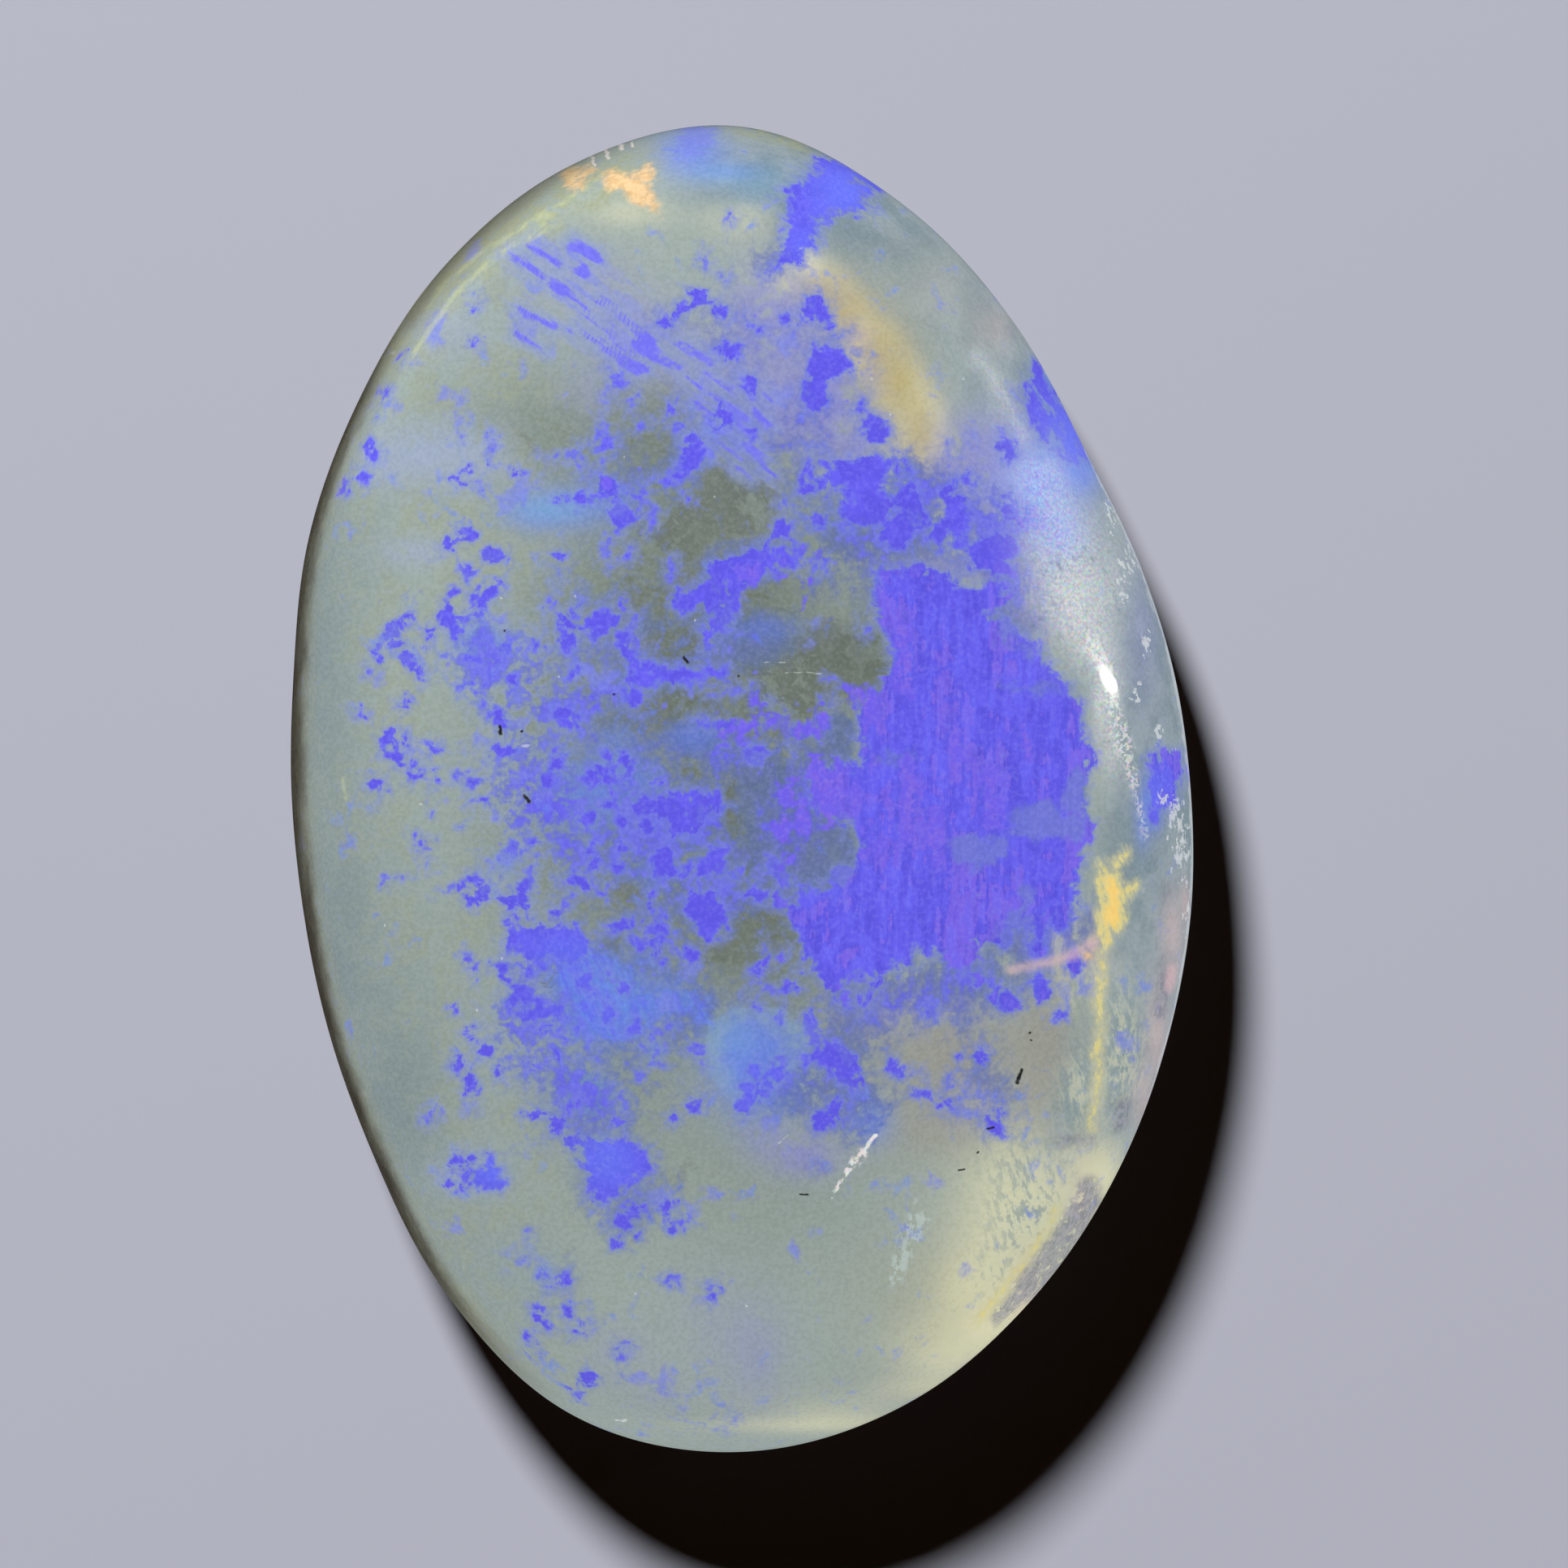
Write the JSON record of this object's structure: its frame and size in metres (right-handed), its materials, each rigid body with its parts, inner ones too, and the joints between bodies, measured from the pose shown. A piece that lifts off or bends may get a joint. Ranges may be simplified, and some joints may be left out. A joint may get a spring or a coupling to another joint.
{
  "type": "polished opal cabochon",
  "caption": "Free-form oval opal cabochon with a low domed crown, a broad polished shoulder on one side and a flat back that it rests on or is set by.",
  "frame": {"origin": "on the flat back, under the middle of the stone's outline", "axes": "+Z out of the crown, +Y along the stone's length towards its narrower end, +X towards the broad shoulder"},
  "size_m": [0.0088, 0.013, 0.0036],
  "materials": {
    "opal": "glossy hand polish with faint dust and hairline scratches"
  },
  "bodies": {
    "root": {"opal": "opal"}
  },
  "joints": []
}
